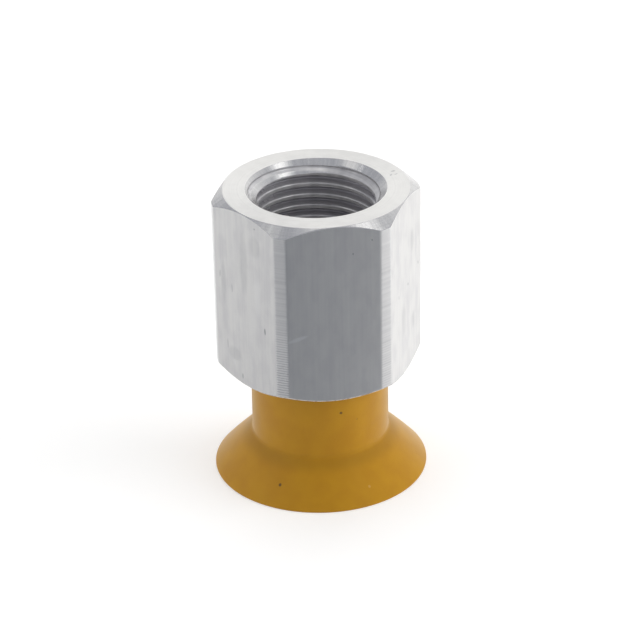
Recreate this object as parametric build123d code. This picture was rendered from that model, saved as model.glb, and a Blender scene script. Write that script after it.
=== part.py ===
from build123d import *
import os
from math import radians, tan

# Flat vacuum pad for a small gripper: a hexagonal connector turned from aluminium bar, with a threaded
# blind bore in its top and a hollow barbed spigot below, and an elastomer pad pressed up over the spigot.
# Millimetres and degrees. The axis is Z, the lip seals on Z = 0, and two of the hexagon's flats face
# along Y.

# Pad, outside
PAD_HEIGHT = 8.85
NECK_DIAMETER = 10.5
LIP_DIAMETER = 16.4
LIP_SLOPE_ANGLE = 45.0
LIP_EDGE_HEIGHT = 0.12
NECK_ROOT_RADIUS = 0.7

# Pad, cup and passage
LIP_SEAL_WIDTH = 0.3
CUP_DEPTH = 1.9
CUP_SLOPE_ANGLE = 28.0
CUP_ROOF_RADIUS = 0.4
PAD_PASSAGE_DIAMETER = 4.0

# Spigot, and the running room between it and the socket moulded round it
SPIGOT_SHAFT_DIAMETER = 5.6
SPIGOT_SHAFT_LENGTH = 1.9
BARB_DIAMETER = 7.2
BARB_LAND_LENGTH = 0.35
BARB_TAPER_LENGTH = 2.2
BARB_TIP_DIAMETER = 5.2
SOCKET_CLEARANCE = 0.05

# Hexagon body
ACROSS_FLATS = 14.0
CORNER_DIAMETER = 15.65
HEXAGON_HEIGHT = 14.35
TOP_FACE_DIAMETER = 13.9
BOTTOM_FACE_DIAMETER = 13.7
END_CHAMFER_ANGLE = 35.0

# Port in the top: tapping drill of a G1/8 thread, its countersink and drill point, and the air channel
THREAD_DRILL_DIAMETER = 8.8
THREAD_DRILL_DEPTH = 9.5
COUNTERSINK_DIAMETER = 10.55
COUNTERSINK_ANGLE = 45.0
DRILL_POINT_ANGLE = 118.0
CHANNEL_DIAMETER = 3.5

# Heights that several features share
HEXAGON_BOTTOM = PAD_HEIGHT
HEXAGON_TOP = HEXAGON_BOTTOM + HEXAGON_HEIGHT
BARB_SHOULDER = HEXAGON_BOTTOM - SPIGOT_SHAFT_LENGTH
BARB_LAND_END = BARB_SHOULDER - BARB_LAND_LENGTH
SPIGOT_TIP = BARB_LAND_END - BARB_TAPER_LENGTH


def slope_rise(run, angle):
    """Height gained over a level run by a slope at this many degrees from level."""
    return run * tan(radians(angle))


def turned(corners):
    """Solid turned about Z from its half section, given as (radius, height, corner rounding)."""
    section = FilletPolyline(
        *[(radius, height) for radius, height, _ in corners],
        radius=[rounding for _, _, rounding in corners],
        close=True,
    )
    return revolve(Plane.XZ * make_face(section), Axis.Z)


def hexagon_body():
    """Hexagon bar turned down over its corners, with the end faces chamfered back to round."""
    bar = RegularPolygon(ACROSS_FLATS / 2, 6, major_radius=False)
    bar = Pos(0, 0, HEXAGON_BOTTOM) * extrude(bar, HEXAGON_HEIGHT)
    corner = CORNER_DIAMETER / 2
    bottom_rise = slope_rise(corner - BOTTOM_FACE_DIAMETER / 2, END_CHAMFER_ANGLE)
    top_drop = slope_rise(corner - TOP_FACE_DIAMETER / 2, END_CHAMFER_ANGLE)
    lathe_limit = turned([
        (0, HEXAGON_BOTTOM, 0),
        (BOTTOM_FACE_DIAMETER / 2, HEXAGON_BOTTOM, 0),
        (corner, HEXAGON_BOTTOM + bottom_rise, 0),
        (corner, HEXAGON_TOP - top_drop, 0),
        (TOP_FACE_DIAMETER / 2, HEXAGON_TOP, 0),
        (0, HEXAGON_TOP, 0),
    ])
    return bar & lathe_limit


def spigot():
    """Barbed spigot: a straight shaft, a square shoulder that holds the pad, and a lead-in taper."""
    return turned([
        (0, HEXAGON_BOTTOM, 0),
        (SPIGOT_SHAFT_DIAMETER / 2, HEXAGON_BOTTOM, 0),
        (SPIGOT_SHAFT_DIAMETER / 2, BARB_SHOULDER, 0),
        (BARB_DIAMETER / 2, BARB_SHOULDER, 0),
        (BARB_DIAMETER / 2, BARB_LAND_END, 0),
        (BARB_TIP_DIAMETER / 2, SPIGOT_TIP, 0),
        (0, SPIGOT_TIP, 0),
    ])


def port():
    """Air passage: countersink, tapping drill with its point, and the channel down the spigot."""
    mouth = COUNTERSINK_DIAMETER / 2
    drill = THREAD_DRILL_DIAMETER / 2
    channel = CHANNEL_DIAMETER / 2
    countersink_end = HEXAGON_TOP - (mouth - drill) / tan(radians(COUNTERSINK_ANGLE))
    drill_end = HEXAGON_TOP - THREAD_DRILL_DEPTH
    point_end = drill_end - (drill - channel) / tan(radians(DRILL_POINT_ANGLE / 2))
    return turned([
        (0, HEXAGON_TOP, 0),
        (mouth, HEXAGON_TOP, 0),
        (drill, countersink_end, 0),
        (drill, drill_end, 0),
        (channel, point_end, 0),
        (channel, SPIGOT_TIP, 0),
        (0, SPIGOT_TIP, 0),
    ])


def hex_connector():
    """The whole metal piece: wrench hexagon, barbed spigot and the port through both."""
    return hexagon_body() + spigot() - port()


def suction_pad():
    """The moulding: neck, sloping lip, shallow cup, and a socket that is undercut behind the barb."""
    neck = NECK_DIAMETER / 2
    lip = LIP_DIAMETER / 2
    seal = lip - LIP_SEAL_WIDTH
    neck_root = LIP_EDGE_HEIGHT + slope_rise(lip - neck, LIP_SLOPE_ANGLE)
    cup_roof = seal - CUP_DEPTH / tan(radians(CUP_SLOPE_ANGLE))
    shaft_room = SPIGOT_SHAFT_DIAMETER / 2 + SOCKET_CLEARANCE
    barb_room = BARB_DIAMETER / 2 + SOCKET_CLEARANCE
    tip_room = BARB_TIP_DIAMETER / 2 + SOCKET_CLEARANCE
    return turned([
        (neck, HEXAGON_BOTTOM, 0),
        (neck, neck_root, NECK_ROOT_RADIUS),
        (lip, LIP_EDGE_HEIGHT, 0),
        (lip, 0, 0),
        (seal, 0, 0),
        (cup_roof, CUP_DEPTH, CUP_ROOF_RADIUS),
        (PAD_PASSAGE_DIAMETER / 2, CUP_DEPTH, 0),
        (PAD_PASSAGE_DIAMETER / 2, SPIGOT_TIP, 0),
        (tip_room, SPIGOT_TIP, 0),
        (barb_room, BARB_LAND_END, 0),
        (barb_room, BARB_SHOULDER, 0),
        (shaft_room, BARB_SHOULDER, 0),
        (shaft_room, HEXAGON_BOTTOM, 0),
    ])


os.makedirs("parts", exist_ok=True)
for name, piece in (("hex_connector", hex_connector()), ("suction_pad", suction_pad())):
    piece.label = name
    export_step(piece, f"parts/{name}.step")
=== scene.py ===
"""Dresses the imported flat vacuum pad: a hexagonal turned connector with a moulded pad on its spigot.

Sizes in the classes are millimetres and degrees, and every mesh is written in metres.
"""

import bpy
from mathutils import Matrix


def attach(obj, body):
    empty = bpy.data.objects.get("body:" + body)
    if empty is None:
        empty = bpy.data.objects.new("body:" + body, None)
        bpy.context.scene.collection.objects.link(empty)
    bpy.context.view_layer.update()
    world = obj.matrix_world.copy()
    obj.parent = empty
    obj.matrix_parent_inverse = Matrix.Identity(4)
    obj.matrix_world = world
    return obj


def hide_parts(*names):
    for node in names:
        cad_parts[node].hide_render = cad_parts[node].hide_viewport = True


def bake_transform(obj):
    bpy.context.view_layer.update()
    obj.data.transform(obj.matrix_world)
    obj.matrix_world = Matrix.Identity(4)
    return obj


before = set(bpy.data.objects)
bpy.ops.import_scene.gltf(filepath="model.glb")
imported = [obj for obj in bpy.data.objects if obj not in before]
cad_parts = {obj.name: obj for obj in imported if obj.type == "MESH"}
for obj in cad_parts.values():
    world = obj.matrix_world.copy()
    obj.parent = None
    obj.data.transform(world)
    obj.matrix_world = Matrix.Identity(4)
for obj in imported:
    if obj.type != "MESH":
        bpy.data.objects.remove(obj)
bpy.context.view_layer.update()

import logging
import math
from dataclasses import dataclass
from enum import Enum, IntEnum
from functools import cached_property

import bmesh
import bpy
import numpy as np
from mathutils import Matrix, Vector

Socket = bpy.types.NodeSocket

MM = 0.001
MERGE_DISTANCE = 1e-7
TINY = 1e-6
QUARTER_TURN = 0.25
LONGEST_CUT = 0.35
LONGEST_HOLD = 0.1
SMOOTH = {"interpolation_type": "SMOOTHSTEP"}
COLOURS = {"out": 2, "data_type": "RGBA"}
TIMES = {"operation": "MULTIPLY"}
TIMES_PLUS = {"operation": "MULTIPLY_ADD"}
LOG = logging.getLogger("flat_pad")


class Zone(IntEnum):
    """Differently worked areas of the connector, in the order of its material slots."""

    FACED = 0
    FLAT = 1
    BAND = 2
    CHAMFER = 3
    COUNTERSINK = 4
    THREAD = 5
    SPIGOT = 6
    LOWER_EDGE = 7


class Lay(Enum):
    """Direction in which a tool left its marks on the metal."""

    AXIAL = "along the bar"
    ROUND = "round the axis"


def linear(colour: str) -> tuple[float, float, float, float]:
    """Turns an sRGB colour into the linear one that a shader socket takes, by the standard's curve.

    Args:
        colour: six hex digits, such as "A3772E".

    Returns:
        Linear red, green and blue, and 1 for alpha.
    """
    parts = [int(colour[i : i + 2], 16) / 255 for i in (0, 2, 4)]
    red, green, blue = (c / 12.92 if c <= 0.04045 else ((c + 0.055) / 1.055) ** 2.4 for c in parts)
    return red, green, blue, 1.0


class Nodes:
    """The nodes of a new material or world, and the places on the piece that its patterns read."""

    def __init__(self, owner: bpy.types.Material | bpy.types.World) -> None:
        """Empties the owner's node tree.

        Args:
            owner: the material or world.
        """
        owner.use_nodes = True
        self.tree = owner.node_tree
        self.tree.nodes.clear()

    def add(
        self, kind: str, sockets: dict | None = None, out: int | str = 0, **settings: str
    ) -> Socket | None:
        """Adds one node with its settings, socket values and links.

        Args:
            kind: the node's type name without its "ShaderNode" start.
            sockets: input name or number, with a plain value or the output socket that feeds it.
            out: name or number of the output that is wanted.
            settings: the node's own properties.

        Returns:
            That output's socket, or None where the node has no outputs.
        """
        node = self.tree.nodes.new("ShaderNode" + kind)
        for name, value in settings.items():
            setattr(node, name, value)
        for key, value in (sockets or {}).items():
            if isinstance(value, Socket):
                self.tree.links.new(value, node.inputs[key])
            else:
                node.inputs[key].default_value = value
        return node.outputs[out] if node.outputs else None

    @cached_property
    def place(self) -> Socket:
        """Place in millimetres, from the piece's Object coordinates."""
        place = self.add("TexCoord", out="Object")
        return self.add("VectorMath", {0: place, "Scale": 1 / MM}, operation="SCALE")

    @cached_property
    def level_place(self) -> Socket:
        """Place with its height taken out."""
        return self.add("Mapping", {"Vector": self.place, "Scale": (1.0, 1.0, 0.0)})

    @cached_property
    def radius(self) -> Socket:
        """Distance from the axis."""
        return self.add("VectorMath", {0: self.level_place}, out="Value", operation="LENGTH")

    @cached_property
    def height(self) -> Socket:
        """Height over the plane that the lip seals on."""
        return self.add("SeparateXYZ", {0: self.place}, out="Z")


def eased_profile(
    corners: np.ndarray, cuts: list[float], steps: list[int], hold: float
) -> tuple[np.ndarray, np.ndarray]:
    """Turns a profile's corners into rows, with each corner eased by a short curve.

    A corner P, with A and B at the cut length along its two sides, becomes the curve
    (1-s)^2 A + 2s(1-s) P + s^2 B. A further row lies a hold length outside A and outside B, so that
    the sides between two corners are shaded flat. Neither takes more than a share of the shorter side.

    Args:
        corners: radius and height of each corner in each column, shape (corner, column, 2).
        cuts: cut length for each corner, and 0 where it stays as it is.
        steps: number of pieces in each corner's curve.
        hold: distance of the further rows from the curve.

    Returns:
        The rows, shape (row, column, 2), and for each row the number of the side that starts there.
    """
    rows, sides = [corners[0]], [0]
    for i in range(1, len(corners) - 1):
        here = corners[i]
        if cuts[i] == 0:
            rows.append(here)
            sides.append(i)
            continue
        back, on = corners[i - 1] - here, corners[i + 1] - here
        back_length = np.linalg.norm(back, axis=-1, keepdims=True)
        on_length = np.linalg.norm(on, axis=-1, keepdims=True)
        shorter = np.minimum(back_length, on_length)
        reach = np.minimum(cuts[i], LONGEST_CUT * shorter)
        held = reach + np.minimum(hold, LONGEST_HOLD * shorter)
        a, b = here + back / back_length * reach, here + on / on_length * reach
        s = np.linspace(0, 1, steps[i] + 1)[:, None, None]
        curve = (1 - s) ** 2 * a + 2 * s * (1 - s) * here + s**2 * b
        rows += [here + back / back_length * held, *curve, here + on / on_length * held]
        sides += [i - 1] * (2 + steps[i] // 2) + [i] * (steps[i] - steps[i] // 2 + 1)
    rows.append(corners[-1])
    sides.append(len(corners) - 1)
    return np.stack(rows), np.array(sides)


def shell_mesh(name: str, points: np.ndarray, zones: np.ndarray, seam: np.ndarray) -> bpy.types.Mesh:
    """Makes a closed mesh from rows of points that are carried once round the axis.

    Faces join each row to the next and each column to the next. The last column joins the first one at
    the row that seam names, which is the same row on a lathe form and a later one on a helix.

    Args:
        name: the mesh's name.
        points: places in millimetres, shape (row, column, 3).
        zones: material slot of each face, shape (row - 1, column).
        seam: for each row, the row of the first column that the last column joins.

    Returns:
        The mesh in metres, with doubles merged and faces outwards.
    """
    count, columns = points.shape[:2]
    here = np.arange(count * columns, dtype=np.int32).reshape(count, columns)
    beside = np.roll(here, -1, axis=1)
    beside[:, -1] = here[seam, 0]
    quads = np.stack([here[:-1], here[1:], beside[1:], beside[:-1]], axis=-1).reshape(-1, 4)
    mesh = bpy.data.meshes.new(name)
    mesh.vertices.add(count * columns)
    mesh.vertices.foreach_set("co", (points * MM).astype(np.float32).ravel())
    mesh.loops.add(quads.size)
    mesh.loops.foreach_set("vertex_index", quads.ravel())
    mesh.polygons.add(len(quads))
    mesh.polygons.foreach_set("loop_start", np.arange(0, quads.size, 4, dtype=np.int32))
    mesh.polygons.foreach_set("material_index", zones.astype(np.int32).ravel())
    mesh.polygons.foreach_set("use_smooth", np.ones(len(quads), dtype=bool))
    mesh.update(calc_edges=True)
    worked = bmesh.new()
    worked.from_mesh(mesh)
    bmesh.ops.remove_doubles(worked, verts=worked.verts, dist=MERGE_DISTANCE)
    bmesh.ops.recalc_face_normals(worked, faces=worked.faces)
    worked.to_mesh(mesh)
    worked.free()
    mesh.update()
    return mesh


def round_axis(profile: np.ndarray, angles: np.ndarray) -> np.ndarray:
    """Places a profile's rows round Z: x = r cos(angle), y = r sin(angle), z as it is.

    Args:
        profile: radius and height, shape (row, column, 2).
        angles: angle of each column in radians.

    Returns:
        Places, shape (row, column, 3).
    """
    radius, height = profile[..., 0], profile[..., 1]
    return np.stack([radius * np.cos(angles), radius * np.sin(angles), height], axis=-1)


def put_in_scene(name: str, mesh: bpy.types.Mesh, materials: list[bpy.types.Material]) -> bpy.types.Object:
    """Makes an object at the origin from a mesh and its materials.

    Args:
        name: the object's name.
        mesh: the mesh, in metres.
        materials: one material for each slot.

    Returns:
        The object, linked to the scene.
    """
    for material in materials:
        mesh.materials.append(material)
    thing = bpy.data.objects.new(name, mesh)
    bpy.context.scene.collection.objects.link(thing)
    return thing


@dataclass(frozen=True)
class Mark:
    """One small nick, rub or speck: its place, half sizes, lean from vertical, and how it shows."""

    place: tuple[float, float, float]
    half_width: float
    half_length: float
    facing: float
    lean: float = 0.0
    dark: bool = True
    tone: float = 0.45
    thickness: float = 0.5
    dent: float = 1.0
    rim: float = 0.5

    def lay_on(
        self, nodes: Nodes, colour: Socket, height: Socket, tint: str, depth: float
    ) -> tuple[Socket, Socket]:
        """Lays the mark over a finish's colour and height.

        The mark is 1 minus the distance from its centre, measured in its own half sizes, and its colour
        has its full tone where that passes the rim.

        Args:
            nodes: the material's nodes.
            colour: the colour's socket so far.
            height: the height's socket so far, in millimetres.
            tint: the mark's colour.
            depth: its height in millimetres, below 0 for a dent.

        Returns:
            The colour's and the height's sockets with the mark.
        """
        turn = (math.radians(self.lean), 0.0, math.radians(self.facing))
        half_sizes = (self.thickness, self.half_width, self.half_length)
        local = nodes.add(
            "Mapping",
            {"Vector": nodes.place, "Location": self.place, "Rotation": turn, "Scale": half_sizes},
            vector_type="TEXTURE",
        )
        ball = nodes.add("TexGradient", {0: local}, out="Fac", gradient_type="SPHERICAL")
        cover = nodes.add("MapRange", {"Value": ball, "From Max": self.rim, "To Max": self.tone}, **SMOOTH)
        marked = nodes.add("Mix", {0: cover, 6: colour, 7: linear(tint)}, **COLOURS)
        return marked, nodes.add("Math", {0: ball, 1: depth * self.dent, 2: height}, **TIMES_PLUS)


@dataclass(frozen=True)
class MetalFinish:
    """Aluminium alloy, as drawn or as the lathe leaves it.

    Bare aluminium reflects about nine tenths of the light, and almost as much of each colour. The fine
    lines that the die or the tool leaves spread each reflection across them, so the finish shows soft
    bands of its surroundings and no mirror image. Real lines are a few hundredths of a millimetre apart.
    Here they are 0.07 to 0.3 mm apart, as coarse as they need to be to show.
    """

    name: str
    lay: Lay = Lay.ROUND
    colour: str = "F5F4F1"
    dull_colour: str = "D9D8D6"
    nick_colour: str = "8A8C90"
    nick_height: float = -0.012
    rub_colour: str = "FFFFFF"
    rub_height: float = 0.004
    marks: tuple[Mark, ...] = ()
    metallic: float = 1.0
    roughness: float = 0.3
    roughness_spread: float = 0.03
    spread: float = 0.5
    line_spacing: float = 0.15
    line_stretch: float = 40.0
    line_depth: float = 0.002
    line_tone: float = 0.25
    blotch_size: float = 2.0
    blotch_squash: float = 0.45
    blotch_limits: tuple[float, float] = (0.38, 0.66)
    blotch_strength: float = 0.0
    chatter_count: float = 0.0
    chatter_depth: float = 0.0
    chatter_tone: float = 0.8
    feed: float = 0.0
    feed_depth: float = 0.0
    feed_low: float = 0.0
    feed_high: float = 0.0
    feed_reach: float = 3.0
    feed_least_high: float = 0.03
    feed_least_right: float = 0.15
    feed_stretch: float = 1.5
    feed_sink: float = 0.7
    feed_tone: float = 1.3
    # Painted shade and added roughness in the thread's roots, below the first turn
    root_from: float = 0.0
    root_rise: float = 0.12
    root_below: float = 0.0
    root_fade: float = 0.3
    root_shade_colour: str = "AEACB2"
    root_shade_cover: float = 0.75
    root_roughness: float = 0.2

    def material(self) -> bpy.types.Material:
        """Builds the finish: lines, patches, the thread's rougher roots with painted shade, and marks, over
        the place in millimetres.

        Returns:
            The material.
        """
        material = bpy.data.materials.new(self.name)
        nodes = Nodes(material)
        lines, height = self._lines(nodes)
        squashed = nodes.add("Mapping", {"Vector": nodes.place, "Scale": (1.0, 1.0, self.blotch_squash)})
        noise = {"Vector": squashed, "Scale": 1 / self.blotch_size, "Detail": 5.0}
        low, high = self.blotch_limits
        limits = {"Value": nodes.add("TexNoise", noise, out="Fac"), "From Min": low, "From Max": high}
        patch = nodes.add("MapRange", limits, **SMOOTH)
        dull = nodes.add("Math", {0: patch, 1: self.blotch_strength}, **TIMES)
        dull = nodes.add("Math", {0: lines, 1: self.line_tone, 2: dull}, **TIMES_PLUS)
        colour = nodes.add(
            "Mix", {0: dull, 6: linear(self.colour), 7: linear(self.dull_colour)}, **COLOURS
        )
        roughness = nodes.add(
            "Math", {0: patch, 1: self.roughness_spread, 2: self.roughness}, **TIMES_PLUS
        )
        if self.root_from:
            colour, roughness = self._shade_and_roughen_roots(nodes, colour, roughness)
        nick, rub = (self.nick_colour, self.nick_height), (self.rub_colour, self.rub_height)
        for mark in self.marks:
            colour, height = mark.lay_on(nodes, colour, height, *(nick if mark.dark else rub))
        around = nodes.add("VectorMath", {0: (0.0, 0.0, 1.0), 1: nodes.place}, operation="CROSS_PRODUCT")
        shader = nodes.add(
            "BsdfPrincipled",
            {
                "Base Color": colour,
                "Metallic": self.metallic,
                "Roughness": roughness,
                "Anisotropic": self.spread,
                "Anisotropic Rotation": 0.0 if self.lay is Lay.AXIAL else QUARTER_TURN,
                "Tangent": around,
                "Normal": nodes.add("Bump", {"Height": height, "Distance": MM, "Strength": 1.0}),
            },
        )
        nodes.add("OutputMaterial", {"Surface": shader})
        return material

    def _shade_and_roughen_roots(self, nodes: Nodes, colour: Socket, roughness: Socket) -> tuple[Socket, Socket]:
        """Makes the thread rougher below its crests, where the tap tears it, and paints shade there, darker
        below the first turn.

        Args:
            nodes: the material's nodes.
            colour: the colour's socket so far.
            roughness: the roughness's socket so far.

        Returns:
            The sockets of the colour and the roughness with the roots.
        """
        start, end = self.root_from, self.root_from + self.root_rise
        deep = nodes.add("MapRange", {"Value": nodes.radius, "From Min": start, "From Max": end}, **SMOOTH)
        start, end = self.root_below, self.root_below - self.root_fade
        limits = {"Value": nodes.height, "From Min": start, "From Max": end, "To Max": self.root_shade_cover}
        low = nodes.add("MapRange", limits, **SMOOTH)
        cover = nodes.add("Math", {0: deep, 1: low}, **TIMES)
        # Painted shade: the roots are mixed toward a darker grey
        shaded_roots = nodes.add("Mix", {0: cover, 6: colour, 7: linear(self.root_shade_colour)}, **COLOURS)
        return shaded_roots, nodes.add("Math", {0: cover, 1: self.root_roughness, 2: roughness}, **TIMES_PLUS)

    def _lines(self, nodes: Nodes) -> tuple[Socket, Socket]:
        """Draws the die's or the tool's lines.

        Lines along the bar are a noise that is stretched in z. Lines round the axis are a noise of
        r - z, which runs on from the end face over the chamfer to the wall. Chatter is a noise of the
        direction from the axis, so it lies across those lines as fine streaks.

        Args:
            nodes: the material's nodes.

        Returns:
            The lines' strength from 0 to 1, and their height in millimetres.
        """
        count = 1 / self.line_spacing
        if self.lay is Lay.AXIAL:
            scale = (count, count, count / self.line_stretch)
            stretched = nodes.add("Mapping", {"Vector": nodes.place, "Scale": scale})
            lines = nodes.add("TexNoise", {"Vector": stretched, "Scale": 1.0, "Detail": 2.0}, out="Fac")
            return lines, nodes.add("Math", {0: lines, 1: self.line_depth}, **TIMES)
        run = nodes.add("Math", {0: nodes.radius, 1: nodes.height}, operation="SUBTRACT")
        lines = nodes.add(
            "TexNoise", {"W": run, "Scale": count, "Detail": 2.0}, out="Fac", noise_dimensions="1D"
        )
        height = nodes.add("Math", {0: lines, 1: self.line_depth}, **TIMES)
        if self.chatter_count:
            direction = nodes.add("VectorMath", {0: nodes.level_place}, operation="NORMALIZE")
            noise = {"Vector": direction, "Scale": self.chatter_count / (2 * math.pi), "Detail": 1.0}
            chatter = nodes.add("TexNoise", noise, out="Fac")
            height = nodes.add("Math", {0: chatter, 1: self.chatter_depth, 2: height}, **TIMES_PLUS)
            lines = nodes.add("Math", {0: lines, 1: self.chatter_tone / 2}, operation="SUBTRACT")
            lines = nodes.add("Math", {0: chatter, 1: self.chatter_tone, 2: lines}, **TIMES_PLUS)
        if self.feed:
            wave = self._feed_wave(nodes, run)
            height = nodes.add("Math", {0: wave, 1: self.feed_depth / 2, 2: height}, **TIMES_PLUS)
            lines = nodes.add("Math", {0: wave, 1: self.feed_tone, 2: lines}, **TIMES_PLUS)
        return lines, height

    def _feed_wave(self, nodes: Nodes, run: Socket) -> Socket:
        """Draws the lines that the lathe's feed leaves, one for each turn of the bar.

        The wave is a sine that is stretched and sunk, so that narrow dark ridges lie between wide bright
        lands. It fades out upwards, where the tool was still sharp, and to the right, because the bar ran
        a little off centre.

        Args:
            nodes: the material's nodes.
            run: the socket of r - z, in millimetres.

        Returns:
            The wave's socket.
        """
        turn = nodes.add("Math", {0: run, 1: 2 * math.pi / self.feed}, **TIMES)
        wave = nodes.add("Math", {0: turn}, operation="SINE")
        wave = nodes.add("Math", {0: wave, 1: self.feed_stretch, 2: -self.feed_sink}, **TIMES_PLUS)
        fades = (
            ("Z", self.feed_high, self.feed_low, self.feed_least_high),
            ("X", self.feed_reach, -self.feed_reach, self.feed_least_right),
        )
        for axis, start, end, least in fades:
            value = nodes.add("SeparateXYZ", {0: nodes.place}, out=axis)
            fade = nodes.add(
                "MapRange", {"Value": value, "From Min": start, "From Max": end, "To Min": least}, **SMOOTH
            )
            wave = nodes.add("Math", {0: wave, 1: fade}, **TIMES)
        return wave


@dataclass(frozen=True)
class RubberFinish:
    """Moulded ochre elastomer.

    The mould's blasted steel leaves a matte skin with a very fine grain, which is drawn several times
    coarser than it is so that it shows. The pigment clouds a little, the crease at the neck's root is
    painted darker as shade, and a pale bloom lies on the skin.
    """

    name: str = "moulded_ochre_elastomer"
    colour: str = "B1800A"
    deep_colour: str = "AB7908"
    # Painted shade in the crease at the neck's root: its colour, height, reach and cover
    crease_shade_colour: str = "86600A"
    crease_height: float = 2.75
    crease_reach: float = 0.75
    crease_shade_cover: float = 0.35
    speck_colour: str = "4A3A20"
    chip_colour: str = "D8B878"
    mark_height: float = 0.01
    roughness: float = 0.5
    specular: float = 0.3
    index_of_refraction: float = 1.5
    bloom_colour: str = "FFF0D2"
    bloom: float = 0.9
    bloom_roughness: float = 0.36
    cloud_size: float = 1.6
    cloud_limits: tuple[float, float] = (0.3, 0.7)
    grain_size: float = 0.16
    grain_depth: float = 0.005
    marks: tuple[Mark, ...] = ()

    def material(self) -> bpy.types.Material:
        """Builds the finish: clouds, painted shade in the crease, grain and marks, over the place in
        millimetres.

        Returns:
            The material.
        """
        material = bpy.data.materials.new(self.name)
        nodes = Nodes(material)
        cloud, grain = (
            nodes.add("TexNoise", {"Vector": nodes.place, "Scale": 1 / size, "Detail": detail}, out="Fac")
            for size, detail in ((self.cloud_size, 4.0), (self.grain_size, 2.0))
        )
        low, high = self.cloud_limits
        cloud = nodes.add("MapRange", {"Value": cloud, "From Min": low, "From Max": high}, **SMOOTH)
        # Painted shade: the colour darkens in a band round the crease at the neck's root
        away = nodes.add("Math", {0: nodes.height, 1: self.crease_height}, operation="SUBTRACT")
        away = nodes.add("Math", {0: away}, operation="ABSOLUTE")
        limits = {"Value": away, "From Min": self.crease_reach, "From Max": 0.0, "To Max": self.crease_shade_cover}
        crease_shade = nodes.add("MapRange", limits, **SMOOTH)
        colour = linear(self.colour)
        for amount, tint in ((cloud, self.deep_colour), (crease_shade, self.crease_shade_colour)):
            colour = nodes.add("Mix", {0: amount, 6: colour, 7: linear(tint)}, **COLOURS)
        height = nodes.add("Math", {0: grain, 1: self.grain_depth}, **TIMES)
        speck, chip = (self.speck_colour, -self.mark_height), (self.chip_colour, self.mark_height)
        for mark in self.marks:
            colour, height = mark.lay_on(nodes, colour, height, *(speck if mark.dark else chip))
        shader = nodes.add(
            "BsdfPrincipled",
            {
                "Base Color": colour,
                "Roughness": self.roughness,
                "Specular IOR Level": self.specular,
                "IOR": self.index_of_refraction,
                "Sheen Weight": self.bloom,
                "Sheen Roughness": self.bloom_roughness,
                "Sheen Tint": linear(self.bloom_colour),
                "Normal": nodes.add("Bump", {"Height": height, "Distance": MM, "Strength": 1.0}),
            },
        )
        nodes.add("OutputMaterial", {"Surface": shader})
        return material


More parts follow.
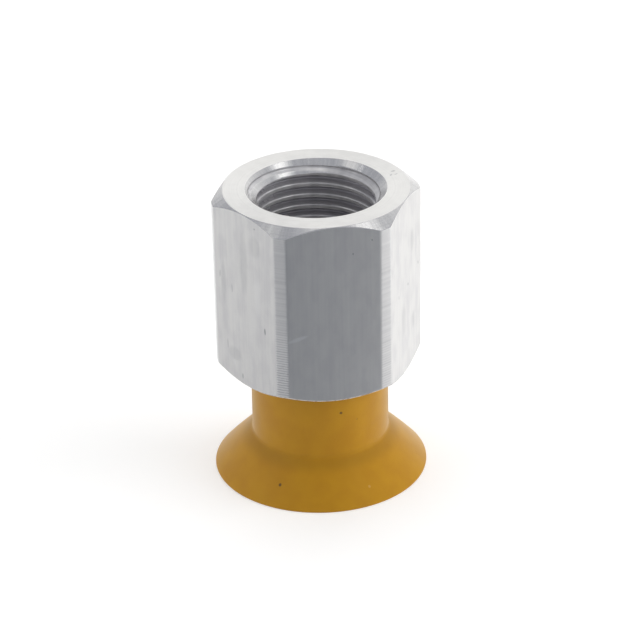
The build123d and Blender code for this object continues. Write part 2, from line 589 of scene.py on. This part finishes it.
@dataclass
class Connector:
    """Hexagonal connector turned from drawn aluminium bar, with a threaded port and a barbed spigot."""

    across_flats: float = 14.0
    corner_radius: float = 7.825
    top: float = 23.2
    bottom: float = 8.85
    top_face_radius: float = 6.95
    bottom_face_radius: float = 6.85
    chamfer_angle: float = 35.0
    edge_break: float = 0.05
    hold: float = 0.03
    corner_break: float = 0.06
    hidden_break: float = 0.04
    shaft_radius: float = 2.8
    barb_radius: float = 3.6
    barb_shoulder: float = 6.95
    barb_land_end: float = 6.6
    tip_radius: float = 2.6
    tip: float = 4.4
    channel_radius: float = 1.75
    bore_radius: float = 4.4
    bore_depth: float = 9.5
    drill_point_angle: float = 118.0
    mouth_radius: float = 5.275
    mouth_break: float = 0.06
    pitch: float = 0.907
    root_radius: float = 4.864
    root_rounding: float = 0.1246
    crest_rounding: float = 0.04
    flank_angle: float = 27.5
    thread_start: float = 0.6924
    thread_end: float = 8.9
    first_cut: float = 0.2
    first_cut_end: float = 0.5
    first_cut_fade: float = 0.24
    runout: float = 2.2
    runout_end: float = 0.2
    root_steps: tuple[float, ...] = (0.0, 0.06, 0.1105, 0.2, 0.28, 0.315, 0.345, 0.375, 0.41)
    edge_steps: tuple[float, ...] = (0.0, 0.17, 0.35, 0.55, 0.75, 0.95)
    edge_gap: float = 1.3
    flat_columns: int = 12
    corner_columns: int = 4
    edge_pieces: int = 3

    @property
    def flat_half_angle(self) -> float:
        """Angle from the middle of a flat to its turned corner, in radians."""
        return math.acos(self.across_flats / 2 / self.corner_radius)

    def column_angles(self) -> tuple[np.ndarray, np.ndarray]:
        """Angles of the columns, close together where a flat meets a turned corner.

        Returns:
            Each column's angle round the axis, and its angle from the middle of its flat, in radians.
        """
        edge = math.degrees(self.flat_half_angle)
        near = np.array(self.edge_steps)
        half = np.concatenate(
            [
                np.linspace(0, edge - self.edge_gap, self.flat_columns)[1:],
                edge - near[:0:-1],
                edge + near,
                np.linspace(edge + near[-1], 30, self.corner_columns)[1:],
            ]
        )
        from_flat = np.concatenate([-half[::-1], [0.0], half[:-1]])
        flats = 30 + 60 * np.arange(6)
        angles = (flats[:, None] + from_flat[None, :]).ravel()
        return np.radians(angles), np.radians(np.tile(from_flat, 6))

    def wall_radius(self, from_flat: np.ndarray) -> np.ndarray:
        """Distance of the hexagon's wall from the axis.

        A flat is half the width over the cosine of the angle from its middle, a corner is the turned
        radius, and the smaller holds. Where both are within the corner break, their edge is rounded by
        taking off a quarter of the squared overlap.

        Args:
            from_flat: angle from the middle of the nearest flat, in radians.

        Returns:
            The radius for each angle.
        """
        flat = self.across_flats / 2 / np.cos(from_flat)
        overlap = np.maximum(self.corner_break - np.abs(flat - self.corner_radius), 0)
        return np.minimum(flat, self.corner_radius) - overlap**2 / (4 * self.corner_break)

    def body_rows(self, from_flat: np.ndarray) -> tuple[np.ndarray, np.ndarray]:
        """Profile of everything but the thread, from the port's mouth outwards and back up the bore.

        Args:
            from_flat: each column's angle from the middle of its flat, in radians.

        Returns:
            The rows, shape (row, column, 2), and for each row the number of the side that starts there.
        """
        wall = self.wall_radius(from_flat)
        slope = math.tan(math.radians(self.chamfer_angle))
        point = (self.bore_radius - self.channel_radius) / math.tan(math.radians(self.drill_point_angle / 2))
        bore_end = self.top - self.bore_depth
        corners = [
            (self.mouth_radius - self.mouth_break, self.top - self.mouth_break),
            (self.mouth_radius, self.top),
            (self.top_face_radius, self.top),
            (wall, self.top - (wall - self.top_face_radius) * slope),
            (wall, self.bottom + (wall - self.bottom_face_radius) * slope),
            (self.bottom_face_radius, self.bottom),
            (self.shaft_radius, self.bottom),
            (self.shaft_radius, self.barb_shoulder),
            (self.barb_radius, self.barb_shoulder),
            (self.barb_radius, self.barb_land_end),
            (self.tip_radius, self.tip),
            (self.channel_radius, self.tip),
            (self.channel_radius, bore_end - point),
            (self.bore_radius, bore_end),
            (self.bore_radius, self.top - self.thread_end),
        ]
        corners = np.stack([np.stack(np.broadcast_arrays(r, z, wall)[:2], axis=-1) for r, z in corners])
        cuts = [0.0] + [self.edge_break] * 5 + [self.hidden_break] * 8 + [0.0]
        steps = [0] + [self.edge_pieces] * 13 + [0]
        return eased_profile(corners, cuts, steps, self.hold)

    def groove_radius(self, from_root: np.ndarray) -> np.ndarray:
        """Radius of the thread's groove at an axial distance from the middle of its root.

        The root is an arc, each flank falls by the distance over the tangent of the flank angle, and the
        tapping drill's bore cuts the crests. There the height h over the bore becomes half of
        h + sqrt(h^2 + rounding^2), which rounds the crest's edges.

        Args:
            from_root: axial distance in millimetres.

        Returns:
            The radius for each distance.
        """
        angle = math.radians(self.flank_angle)
        centre = self.root_radius - self.root_rounding
        apex = centre + self.root_rounding / math.sin(angle)
        away = np.abs(from_root)
        arc = centre + np.sqrt(np.maximum(self.root_rounding**2 - away**2, 0))
        flank = apex - away / math.tan(angle)
        groove = np.where(away < self.root_rounding * math.cos(angle), arc, flank)
        over = groove - self.bore_radius
        return self.bore_radius + (over + np.sqrt(over**2 + self.crest_rounding**2)) / 2

    def thread_rows(self, angles: np.ndarray) -> tuple[np.ndarray, np.ndarray, int]:
        """Profile of the threaded bore, from its deep end up to the mouth.

        The rows climb with the right-hand helix, a pitch for each turn. Each point lies on the farthest
        out of the groove, the drilled bore and the 45 degree countersink. Near the mouth the first turn
        is cut deeper, so that it still shows in the countersink. Where groove and countersink
        cross between two rows, the nearer row is moved to the crossing. Rows beyond either end of the
        thread are held at that end, and merge there.

        Args:
            angles: each column's angle round the axis, in radians.

        Returns:
            The rows, shape (row, column, 2), which of them lie on the countersink, and the rows in a turn.
        """
        half = np.array(self.root_steps)
        steps = np.concatenate([-half[:0:-1], half, [self.pitch / 2]])[::-1]
        first = math.ceil((self.thread_end + self.pitch / 2 - self.thread_start) / self.pitch)
        turns = np.arange(first, -2, -1)
        offset = (turns[:, None] * self.pitch + steps[None, :]).ravel()[:, None]
        depth = self.thread_start - self.pitch * angles[None, :] / (2 * math.pi) + offset
        fade = np.clip((self.thread_end - self.runout_end - depth) / self.runout, 0, 1)
        groove = self.groove_radius(np.tile(steps, len(turns)))[:, None]
        middle = depth - np.tile(steps, len(turns))[:, None]
        extra = self.first_cut * np.clip((self.first_cut_end - middle) / self.first_cut_fade, 0, 1)
        stretch = 1 + extra / (self.root_radius - self.bore_radius)
        tapped = self.bore_radius + (groove - self.bore_radius) * stretch * fade
        excess = tapped - (self.mouth_radius - depth)
        radius = np.maximum(tapped, self.mouth_radius - depth)
        crossing = excess[:-1] * excess[1:] < 0
        share = excess[:-1] / np.where(crossing, excess[:-1] - excess[1:], 1.0)
        place = depth[:-1] + share * (depth[1:] - depth[:-1])
        for rows, nearer in ((slice(None, -1), share < 0.5), (slice(1, None), share >= 0.5)):
            moved = crossing & nearer
            depth[rows][moved] = place[moved]
            radius[rows][moved] = self.mouth_radius - place[moved]
        held_low, held_high = depth >= self.thread_end, depth <= self.mouth_break
        depth = np.clip(depth, self.mouth_break, self.thread_end)
        radius = np.where(held_low, self.bore_radius, radius)
        radius = np.where(held_high, self.mouth_radius - self.mouth_break, radius)
        conical = np.abs(radius - (self.mouth_radius - depth)) < TINY
        return np.stack([radius, self.top - depth], axis=-1), conical, len(steps)

    def mesh(self) -> bpy.types.Mesh:
        """Builds the whole connector as one closed skin.

        Returns:
            The mesh, with a material slot number on each face.
        """
        angles, from_flat = self.column_angles()
        body, sides = self.body_rows(from_flat)
        thread, conical, rows_in_turn = self.thread_rows(angles)
        rows = np.concatenate([body, thread])
        by_side = [Zone.COUNTERSINK, Zone.FACED, Zone.CHAMFER, Zone.FLAT, Zone.CHAMFER, Zone.FACED]
        by_side = np.array(by_side + [Zone.SPIGOT] * 9)
        body_zones = np.repeat(by_side[sides][:, None], len(angles), axis=1)
        lower_edge = int(np.flatnonzero(sides == by_side.tolist().index(Zone.CHAMFER, 3))[0])
        body_zones[lower_edge - 2 : lower_edge + 1] = Zone.LOWER_EDGE
        turned = np.abs(from_flat + np.roll(from_flat, -1)) / 2 > self.flat_half_angle
        turned |= np.abs(from_flat) > self.flat_half_angle + TINY
        body_zones[(body_zones == Zone.FLAT) & turned[None, :]] = Zone.BAND
        thread_zones = np.where(conical[:-1] & conical[1:], Zone.COUNTERSINK, Zone.THREAD)
        seam = np.arange(len(rows))
        seam[len(body):] = np.minimum(seam[len(body):] + rows_in_turn, len(rows) - 1)
        zones = np.concatenate([body_zones, thread_zones])
        return shell_mesh("connector_skin", round_axis(rows, angles), zones, seam)

    def marks_on_flats(self) -> tuple[Mark, ...]:
        """Faint smears and sharper nicks on the three front flats, at the places that the photo shows.

        Returns:
            The marks, smears first.
        """
        left, front, right = 210.0, 270.0, 330.0
        smears = (
            ((-5.4, -4.64, 21.0), 0.9, 1.1, left, True, 0.12),
            ((-6.08, -3.46, 19.2), 0.6, 3.2, left, True, 0.12),
            ((-7.3, -1.35, 16.9), 0.35, 2.2, left, True, 0.12),
            ((-6.77, -2.28, 11.2), 1.0, 0.7, left, True, 0.12),
            ((-5.3, -4.8, 17.0), 0.4, 2.4, left, False, 0.15),
            ((6.76, -2.3, 19.26), 0.5, 1.2, right, True, 0.16),
            ((5.79, -3.96, 13.5), 0.5, 1.6, right, True, 0.12),
            ((6.9, -2.05, 12.5), 0.35, 0.9, right, True, 0.14),
        )
        nicks = (
            Mark((-4.93, -5.47, 14.47), 0.09, 0.34, left, 3.0, tone=0.8),
            Mark((-6.81, -2.2, 16.65), 0.05, 0.45, left, 2.0),
            Mark((-7.51, -0.99, 17.37), 0.06, 0.4, left, -4.0),
            Mark((-7.18, -1.56, 11.74), 0.05, 0.5, left, 1.0),
            Mark((-6.8, -2.23, 10.43), 0.06, 0.35, left, 2.0, dark=False),
            Mark((-6.34, -3.03, 9.61), 0.07, 0.3, left, tone=0.6),
            Mark((-5.38, -4.69, 22.5), 0.12, 0.08, left),
            Mark((-2.74, -7.0, 14.38), 0.2, 0.95, front, -74.0, dark=False, tone=0.7),
            Mark((2.82, -7.0, 21.92), 0.08, 0.08, front, tone=0.7),
            Mark((1.42, -7.0, 20.94), 0.07, 0.1, front, tone=0.6),
            Mark((6.28, -3.13, 16.06), 0.09, 0.16, right, tone=0.7),
            Mark((7.48, -1.04, 16.74), 0.1, 0.2, right, 20.0, tone=0.5),
            Mark((5.21, -4.98, 15.94), 0.09, 0.22, right, 10.0, tone=0.35),
        )
        return tuple(
            Mark(place, width, length, facing, dark=dark, tone=tone, dent=0.0)
            for place, width, length, facing, dark, tone in smears
        ) + nicks

    def finishes(self) -> list[MetalFinish]:
        """Finish of each zone, in the order of Zone.

        Returns:
            The finishes.
        """
        face_nicks = (
            Mark((6.13, 1.59, 23.2), 0.12, 0.2, 14.0, tone=0.5, thickness=0.22),
            Mark((5.84, 0.95, 23.2), 0.09, 0.2, 60.0, tone=0.35, thickness=0.25),
            Mark((6.24, 1.02, 23.2), 0.08, 0.2, 30.0, tone=0.4, thickness=0.2),
        )
        return [
            # Faced in the lathe: fine rings that fan the light out from the middle
            MetalFinish(
                "faced_aluminium", colour="F9F8F5", roughness=0.32, spread=0.8, line_spacing=0.12,
                line_depth=0.0012, line_tone=0.35, blotch_size=0.6, blotch_strength=0.08, marks=face_nicks,
            ),
            # Left as drawn: streaks along the bar, cloudy patches, smears and nicks
            MetalFinish(
                "drawn_aluminium", Lay.AXIAL, dull_colour="D2D0D4", spread=0.6, line_spacing=0.25,
                line_depth=0.0012, line_tone=0.45, blotch_size=0.9, blotch_strength=0.2,
                marks=self.marks_on_flats(),
            ),
            # Turned down over the corners: satin lands between the fine lines of the feed
            MetalFinish(
                "turned_corner_aluminium", colour="F8F7F6", dull_colour="A0A0A3", spread=0.6,
                line_spacing=0.3, line_depth=0.001, line_tone=0.34, feed=0.2, feed_depth=0.012,
                feed_low=10.5, feed_high=16.0,
            ),
            # Chamfered by a wide tool that chattered: bright, with streaks down the slope
            MetalFinish(
                "chamfered_aluminium", colour="FFFEFC", dull_colour="D0CFCE", roughness=0.21, spread=0.85,
                line_depth=0.003, line_tone=0.8, chatter_count=150.0, chatter_depth=0.005,
            ),
            # Countersunk in the same way, a little duller
            MetalFinish(
                "countersunk_aluminium", colour="FBFAF8", dull_colour="C8C7C7", roughness=0.24, spread=0.8,
                line_spacing=0.1, line_depth=0.002, line_tone=0.8, chatter_count=130.0, chatter_depth=0.003,
            ),
            # Tapped: glossy crests over torn roots, with painted shade in the roots below the first turn.
            # Oil in them scatters light, so it is half metallic
            MetalFinish(
                "tapped_aluminium", colour="F2F1F1", dull_colour="9C9B9F", metallic=0.55, roughness=0.1,
                line_spacing=0.07, line_depth=0.003, line_tone=0.9, chatter_count=36.0,
                chatter_depth=0.012, root_from=4.45, root_below=22.35,
            ),
            # Bored and turned out of sight: plain tool lines
            MetalFinish(
                "bored_aluminium", dull_colour="B4B4B6", spread=0.6, line_spacing=0.1, line_depth=0.004,
                line_tone=0.7,
            ),
            # Burred along the lower edge: matte and patchy, with no lines
            MetalFinish(
                "burred_aluminium", colour="E2DFDA", dull_colour="9A9896", metallic=0.2, roughness=0.65,
                spread=0.0, line_depth=0.0, line_tone=0.0, blotch_size=0.3, blotch_strength=0.9,
            ),
        ]

    def build(self) -> bpy.types.Object:
        """Builds and dresses the connector, and hangs it on its CAD body.

        Returns:
            The finished piece.
        """
        materials = [finish.material() for finish in self.finishes()]
        piece = put_in_scene("hexagon_and_spigot", self.mesh(), materials)
        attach(piece, "connector")
        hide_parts("hex_connector")
        return piece


@dataclass
class Pad:
    """Moulded pad: neck, sloping lip, shallow cup, air passage, and a socket behind the barb."""

    columns: int = 216
    height: float = 8.85
    neck_radius: float = 5.25
    neck_root: float = 3.07
    root_cut: float = 0.29
    lip_radius: float = 8.2
    lip_edge: float = 0.12
    lip_seal: float = 7.9
    slope_bow: float = 0.06
    slope_pieces: int = 8
    cup_depth: float = 1.9
    cup_slope: float = 28.0
    passage_radius: float = 2.0
    socket_bottom: float = 4.4
    tip_room: float = 2.65
    barb_room: float = 3.65
    shaft_room: float = 2.85
    barb_land_end: float = 6.6
    barb_shoulder: float = 6.95
    row_spacing: float = 0.2
    hold: float = 0.02
    still_below: float = 0.4
    still_above: float = 4.0

    def profile(self) -> np.ndarray:
        """Half section, from the neck's top down the outside, through the cup and back up the socket.

        The lip's slope is bowed outwards by 4 s (1 - s) times its bow, s being the share of its length.
        Each corner below has its radius, its height, its cut and the number of pieces in its curve.

        Returns:
            Radius and height of each row, shape (row, 2).
        """
        share = np.linspace(0, 1, self.slope_pieces + 1)[1:-1]
        start = np.array([self.neck_radius, self.neck_root])
        end = np.array([self.lip_radius, self.lip_edge])
        outwards = np.array([1.0, 1.0]) / math.sqrt(2)
        bowed = start + share[:, None] * (end - start)
        bowed = bowed + (4 * share * (1 - share) * self.slope_bow)[:, None] * outwards
        cup_roof = self.lip_seal - self.cup_depth / math.tan(math.radians(self.cup_slope))
        corners = [
            (self.shaft_room, self.height, 0.03, 2),
            (self.neck_radius, self.height, 0.12, 4),
            (*start, self.root_cut, 8),
            *[(radius, height, 0.0, 0) for radius, height in bowed],
            (*end, 0.05, 3),
            (self.lip_radius, 0.0, 0.04, 3),
            (self.lip_seal, 0.0, 0.05, 3),
            (cup_roof, self.cup_depth, 0.3, 5),
            (self.passage_radius, self.cup_depth, 0.15, 4),
            (self.passage_radius, self.socket_bottom, 0.05, 2),
            (self.tip_room, self.socket_bottom, 0.05, 2),
            (self.barb_room, self.barb_land_end, 0.05, 2),
            (self.barb_room, self.barb_shoulder, 0.05, 2),
            (self.shaft_room, self.barb_shoulder, 0.05, 2),
            (self.shaft_room, self.height, 0.0, 0),
        ]
        places = np.array([[corner[:2]] for corner in corners], dtype=float)
        rows, _ = eased_profile(places, [c[2] for c in corners], [c[3] for c in corners], self.hold)
        return self.spaced(rows[:, 0])

    def spaced(self, rows: np.ndarray) -> np.ndarray:
        """Adds rows on the long straight sides.

        Args:
            rows: radius and height of each row, shape (row, 2).

        Returns:
            The same line with no two rows farther apart than the row spacing.
        """
        lengths = np.linalg.norm(np.diff(rows, axis=0), axis=1)
        pieces = np.maximum(np.ceil(lengths / self.row_spacing), 1).astype(int)
        number = np.repeat(np.arange(len(pieces)), pieces)
        first = np.cumsum(pieces) - pieces
        share = (np.arange(pieces.sum()) - first[number]) / pieces[number]
        line = rows[number] + share[:, None] * (rows[number + 1] - rows[number])
        return np.concatenate([line, rows[-1:]])

    def mesh(self) -> bpy.types.Mesh:
        """Carries the half section round the axis.

        Returns:
            The mesh.
        """
        line = self.profile()
        angles = np.linspace(0, 2 * math.pi, self.columns, endpoint=False)
        rows = np.repeat(line[:, None, :], self.columns, axis=1)
        zones = np.zeros((len(line) - 1, self.columns))
        return shell_mesh("pad_skin", round_axis(rows, angles), zones, np.arange(len(line)))

    def finish(self) -> RubberFinish:
        """Finish of the moulding, with the specks of dirt and the pale chip that lie on it.

        Returns:
            The finish.
        """
        marks = (
            Mark((0.69, -5.2, 6.81), 0.15, 0.14, 277.6, tone=0.8),
            Mark((1.97, -4.87, 5.95), 0.1, 0.1, 292.1, tone=0.25),
            Mark((-4.11, -5.61, 1.37), 0.15, 0.13, 233.8, tone=0.85),
            Mark((2.48, -6.77, 1.11), 0.14, 0.11, 290.1, dark=False, tone=0.25),
        )
        return RubberFinish(marks=marks)

    def build(self) -> bpy.types.Object:
        """Builds and dresses the pad, and hides the CAD pad that it replaces.

        Returns:
            The finished piece.
        """
        piece = put_in_scene("moulded_pad", self.mesh(), [self.finish().material()])
        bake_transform(piece)
        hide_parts("suction_pad")
        return piece


@dataclass(frozen=True)
class Card:
    """Grey or white card of the studio, seen only in reflections: a patch round the part with soft edges.

    Azimuth 0 is the camera's side and 90 its right. A card that lies flat reaches from one radius to
    another at its height, and a standing one from one elevation to another at its distance. Its cover is
    the most that it hides. Each feather is the length over which that fades out at one edge, and 0
    leaves the edge hard.
    """

    name: str
    tone: float
    azimuth: tuple[float, float]
    azimuth_feather: tuple[float, float]
    reach: tuple[float, float]
    reach_feather: tuple[float, float]
    colour: str = "FFFFFF"
    flat: bool = False
    distance: float = 450.0
    height: float = 0.3
    cover: float = 1.0


@dataclass(frozen=True)
class Lamp:
    """Square soft lamp: azimuth as for a card, degrees above the floor, distance and side.

    Its level is the light that a surface facing it gets, where 1 shows a colour as it is written.
    """

    name: str
    azimuth: float
    rise: float
    level: float
    distance: float = 500.0
    size: float = 500.0


@dataclass
class Studio:
    """Floor, background, lamps, cards and the camera, whose values fit the edges in the photograph."""

    turn: float = 9.65
    rise: float = math.degrees(0.4861)
    camera_distance: float = 198.8945
    aim_height: float = 11.606
    aside: float = 0.11
    above: float = 0.4306
    roll: float = math.degrees(-0.0188)
    sensor: float = 36.0
    focal_pixels: float = 2618.8621
    picture_pixels: float = 640.0
    clip_metres: tuple[float, float] = (0.01, 5.0)
    floor_radius: float = 900.0
    floor_colour: str = "F2F2F2"
    floor_lift: float = 0.18
    floor_rings: int = 25
    floor_columns: int = 72
    card_columns: int = 73
    card_rows: int = 41
    ambient: float = 0.55
    lamps: tuple[Lamp, ...] = (
        Lamp("right_softbox", 82.0, 14.0, 1.02),
        Lamp("left_softbox", -90.0, 12.0, 0.5),
        Lamp("back_softbox", 180.0, 60.0, 0.35),
    )
    cards: tuple[Card, ...] = (
        Card("dim_room", 0.41, (-180.0, 180.0), (45.0, 90.0), (0.0, 90.0), (0.0, 12.0), "F2F5FF"),
        Card(
            "right_table", 1.06, (95.0, 185.0), (25.0, 30.0), (8.3, 400.0), (0.0, 300.0),
            flat=True, height=0.2,
        ),
        Card(
            "dark_table", 0.205, (-175.0, 113.0), (185.0, 103.0), (8.3, 400.0), (0.0, 200.0),
            "EAF2FF", flat=True,
        ),
        Card(
            "near_table", 1.0, (-180.0, 180.0), (0.0, 0.0), (8.3, 46.0), (0.0, 36.0),
            flat=True, height=0.4, cover=0.07,
        ),
        Card("right_window", 1.5, (68.0, 102.0), (8.0, 8.0), (44.0, 72.0), (6.0, 6.0), distance=300.0),
        Card("left_window", 0.8, (-98.0, -62.0), (8.0, 8.0), (40.0, 70.0), (6.0, 6.0), distance=300.0),
        Card("right_strip", 1.2, (58.0, 70.0), (3.0, 3.0), (44.0, 54.0), (3.0, 3.0), distance=280.0),
        Card("left_strip", 3.2, (-97.0, -90.0), (3.0, 3.0), (38.0, 45.0), (3.0, 3.0), distance=280.0),
    )

    def heading(self, azimuth: float) -> tuple[float, float]:
        """Level direction's x and y for an azimuth in degrees, from the camera's side to its right."""
        angle = math.radians(azimuth - self.turn)
        return math.sin(angle), -math.cos(angle)

    def place_camera(self) -> None:
        """Sets up the camera as the photograph was taken: aim, distance, focal length and roll."""
        turn, rise, roll = (math.radians(angle) for angle in (self.turn, self.rise, self.roll))
        front = Vector((-math.sin(turn), -math.cos(turn), 0.0))
        upright = Vector((0.0, 0.0, 1.0))
        right = Vector((math.cos(turn), -math.sin(turn), 0.0))
        back = front * math.cos(rise) + upright * math.sin(rise)
        up = upright * math.cos(rise) - front * math.sin(rise)
        place = upright * self.aim_height + back * self.camera_distance
        place += right * self.aside + up * self.above
        across = right * math.cos(roll) + up * math.sin(roll)
        rolled = up * math.cos(roll) - right * math.sin(roll)
        axes = Matrix((across, rolled, back)).transposed().to_4x4()
        data = bpy.data.cameras.new("camera")
        data.sensor_width = self.sensor
        data.lens = self.focal_pixels / self.picture_pixels * self.sensor
        data.clip_start, data.clip_end = self.clip_metres
        camera = bpy.data.objects.new("camera", data)
        camera.matrix_world = Matrix.Translation(place * MM) @ axes
        bpy.context.scene.collection.objects.link(camera)
        bpy.context.scene.camera = camera

    @staticmethod
    def background_rays(nodes: Nodes) -> Socket:
        """Tells rays that should see the white background: camera, glossy and transmission rays.

        Args:
            nodes: the material's or world's nodes.

        Returns:
            A socket that is 1 for such a ray and 0 for others.
        """
        seen = 0.0
        for kind in ("Camera", "Glossy", "Transmission"):
            ray = nodes.add("LightPath", out=f"Is {kind} Ray")
            seen = nodes.add("Math", {0: ray, 1: seen}, operation="MAXIMUM")
        return seen

    def light_background(self) -> None:
        """Makes the world white to the eye and in reflections, and a plain soft light otherwise."""
        world = bpy.data.worlds.new("studio")
        nodes = Nodes(world)
        limits = {"Value": self.background_rays(nodes), "To Min": self.ambient, "To Max": 1.0}
        strength = nodes.add("MapRange", limits)
        light = nodes.add("Background", {"Color": linear("FFFFFF"), "Strength": strength})
        nodes.add("OutputWorld", {"Surface": light})
        bpy.context.scene.world = world

    def lay_floor(self) -> bpy.types.Object:
        """Lays the pale floor, a ring grid whose radius grows by squares, with a little lift to white.

        Returns:
            The floor.
        """
        radius = self.floor_radius * np.linspace(0, 1, self.floor_rings) ** 2
        angles = np.linspace(0, 2 * math.pi, self.floor_columns, endpoint=False)
        profile = np.stack([radius, np.zeros(self.floor_rings)], axis=-1)
        grid = round_axis(np.repeat(profile[:, None], self.floor_columns, axis=1), angles)
        material = bpy.data.materials.new("studio_paper")
        nodes = Nodes(material)
        paper = nodes.add("BsdfDiffuse", {"Color": linear(self.floor_colour)})
        lift = nodes.add("Math", {0: self.background_rays(nodes), 1: self.floor_lift}, **TIMES)
        glow = nodes.add("Emission", {"Color": linear("FFFFFF"), "Strength": lift})
        both = nodes.add("AddShader", {0: paper, 1: glow})
        nodes.add("OutputMaterial", {"Surface": both})
        return self.sheet_of("studio_floor", grid, material, closed=True)

    def sheet_of(
        self, name: str, grid: np.ndarray, material: bpy.types.Material, closed: bool
    ) -> bpy.types.Object:
        """Makes an open sheet for the stage from a grid of points.

        Args:
            name: the object's name.
            grid: places in millimetres, shape (row, column, 3).
            material: its material.
            closed: whether the last column joins the first.

        Returns:
            The sheet.
        """
        count, columns = grid.shape[:2]
        here = np.arange(count * columns).reshape(count, columns)
        if closed:
            here = np.concatenate([here, here[:, :1]], axis=1)
        quads = np.stack([here[:-1, :-1], here[1:, :-1], here[1:, 1:], here[:-1, 1:]], axis=-1)
        mesh = bpy.data.meshes.new(name)
        mesh.from_pydata((grid * MM).reshape(-1, 3).tolist(), [], quads.reshape(-1, 4).tolist())
        mesh.update()
        sheet = put_in_scene(name, mesh, [material])
        return sheet

    @staticmethod
    def faded(place: np.ndarray, limits: tuple[float, float], feather: tuple[float, float]) -> np.ndarray:
        """Cover that grows evenly from 0 at a card's edges to 1 inside its feathers.

        Args:
            place: places along one side of the card.
            limits: where the side starts and ends.
            feather: length of the fade at its start and at its end.

        Returns:
            The cover at each place.
        """
        start = (place - limits[0]) / feather[0] if feather[0] else np.ones_like(place)
        end = (limits[1] - place) / feather[1] if feather[1] else np.ones_like(place)
        return np.clip(np.minimum(start, end), 0, 1)

    def hang_card(self, card: Card) -> bpy.types.Object:
        """Hangs one card, whose cover fades out over its feather at each edge.

        Args:
            card: the card.

        Returns:
            The card's object.
        """
        bearing = np.linspace(*card.azimuth, self.card_columns)
        reach = np.linspace(*card.reach, self.card_rows)
        if card.flat:
            radius, height = reach, np.full_like(reach, card.height)
        else:
            radius = card.distance * np.cos(np.radians(reach))
            height = card.distance * np.sin(np.radians(reach))
        profile = np.repeat(np.stack([radius, height], axis=-1)[:, None], len(bearing), axis=1)
        grid = round_axis(profile, np.radians(bearing - self.turn - 90))
        material = bpy.data.materials.new(card.name)
        nodes = Nodes(material)
        cover = nodes.add("Attribute", out="Fac", attribute_name="cover")
        grey = nodes.add("Emission", {"Color": linear(card.colour), "Strength": card.tone})
        clear = nodes.add("BsdfTransparent")
        both = nodes.add("MixShader", {0: cover, 1: clear, 2: grey})
        nodes.add("OutputMaterial", {"Surface": both})
        sheet = self.sheet_of(card.name, grid, material, closed=False)
        across = self.faded(bearing, card.azimuth, card.azimuth_feather)
        along = self.faded(reach, card.reach, card.reach_feather)
        inside = card.cover * along[:, None] * across[None, :]
        cover_values = sheet.data.attributes.new("cover", "FLOAT", "POINT")
        cover_values.data.foreach_set("value", inside.astype(np.float32).ravel())
        sheet.visible_camera = sheet.visible_diffuse = sheet.visible_shadow = False
        sheet.visible_transmission = False
        return sheet

    def hang_lamp(self, lamp: Lamp) -> None:
        """Hangs a square soft lamp that points at the part.

        Args:
            lamp: the lamp.
        """
        data = bpy.data.lights.new(lamp.name, "AREA")
        data.shape = "SQUARE"
        data.size = lamp.size * MM
        data.energy = lamp.level * math.pi**2 * (lamp.distance * MM) ** 2
        x, y = self.heading(lamp.azimuth)
        level_part = math.cos(math.radians(lamp.rise))
        towards = Vector((x * level_part, y * level_part, math.sin(math.radians(lamp.rise))))
        thing = bpy.data.objects.new(lamp.name, data)
        thing.location = (towards * lamp.distance + Vector((0, 0, self.aim_height))) * MM
        thing.rotation_mode = "QUATERNION"
        thing.rotation_quaternion = towards.to_track_quat("Z", "Y")
        thing.visible_glossy = False
        bpy.context.scene.collection.objects.link(thing)

    def build(self) -> None:
        """Sets up the whole studio."""
        bpy.context.scene.view_settings.view_transform = "Standard"
        self.place_camera()
        self.light_background()
        self.lay_floor()
        for card in self.cards:
            self.hang_card(card)
        for lamp in self.lamps:
            self.hang_lamp(lamp)


def main() -> None:
    """Builds the connector, the pad and the studio in turn, and reports each piece."""
    logging.basicConfig(level=logging.INFO, format="%(name)s: %(message)s")
    for maker in (Connector(), Pad()):
        piece = maker.build()
        mesh = piece.data
        mesh.calc_loop_triangles()
        LOG.info("%s: %d vertices, %d triangles", piece.name, len(mesh.vertices), len(mesh.loop_triangles))
    Studio().build()
    LOG.info("studio set up")


if __name__ == "__main__":
    main()
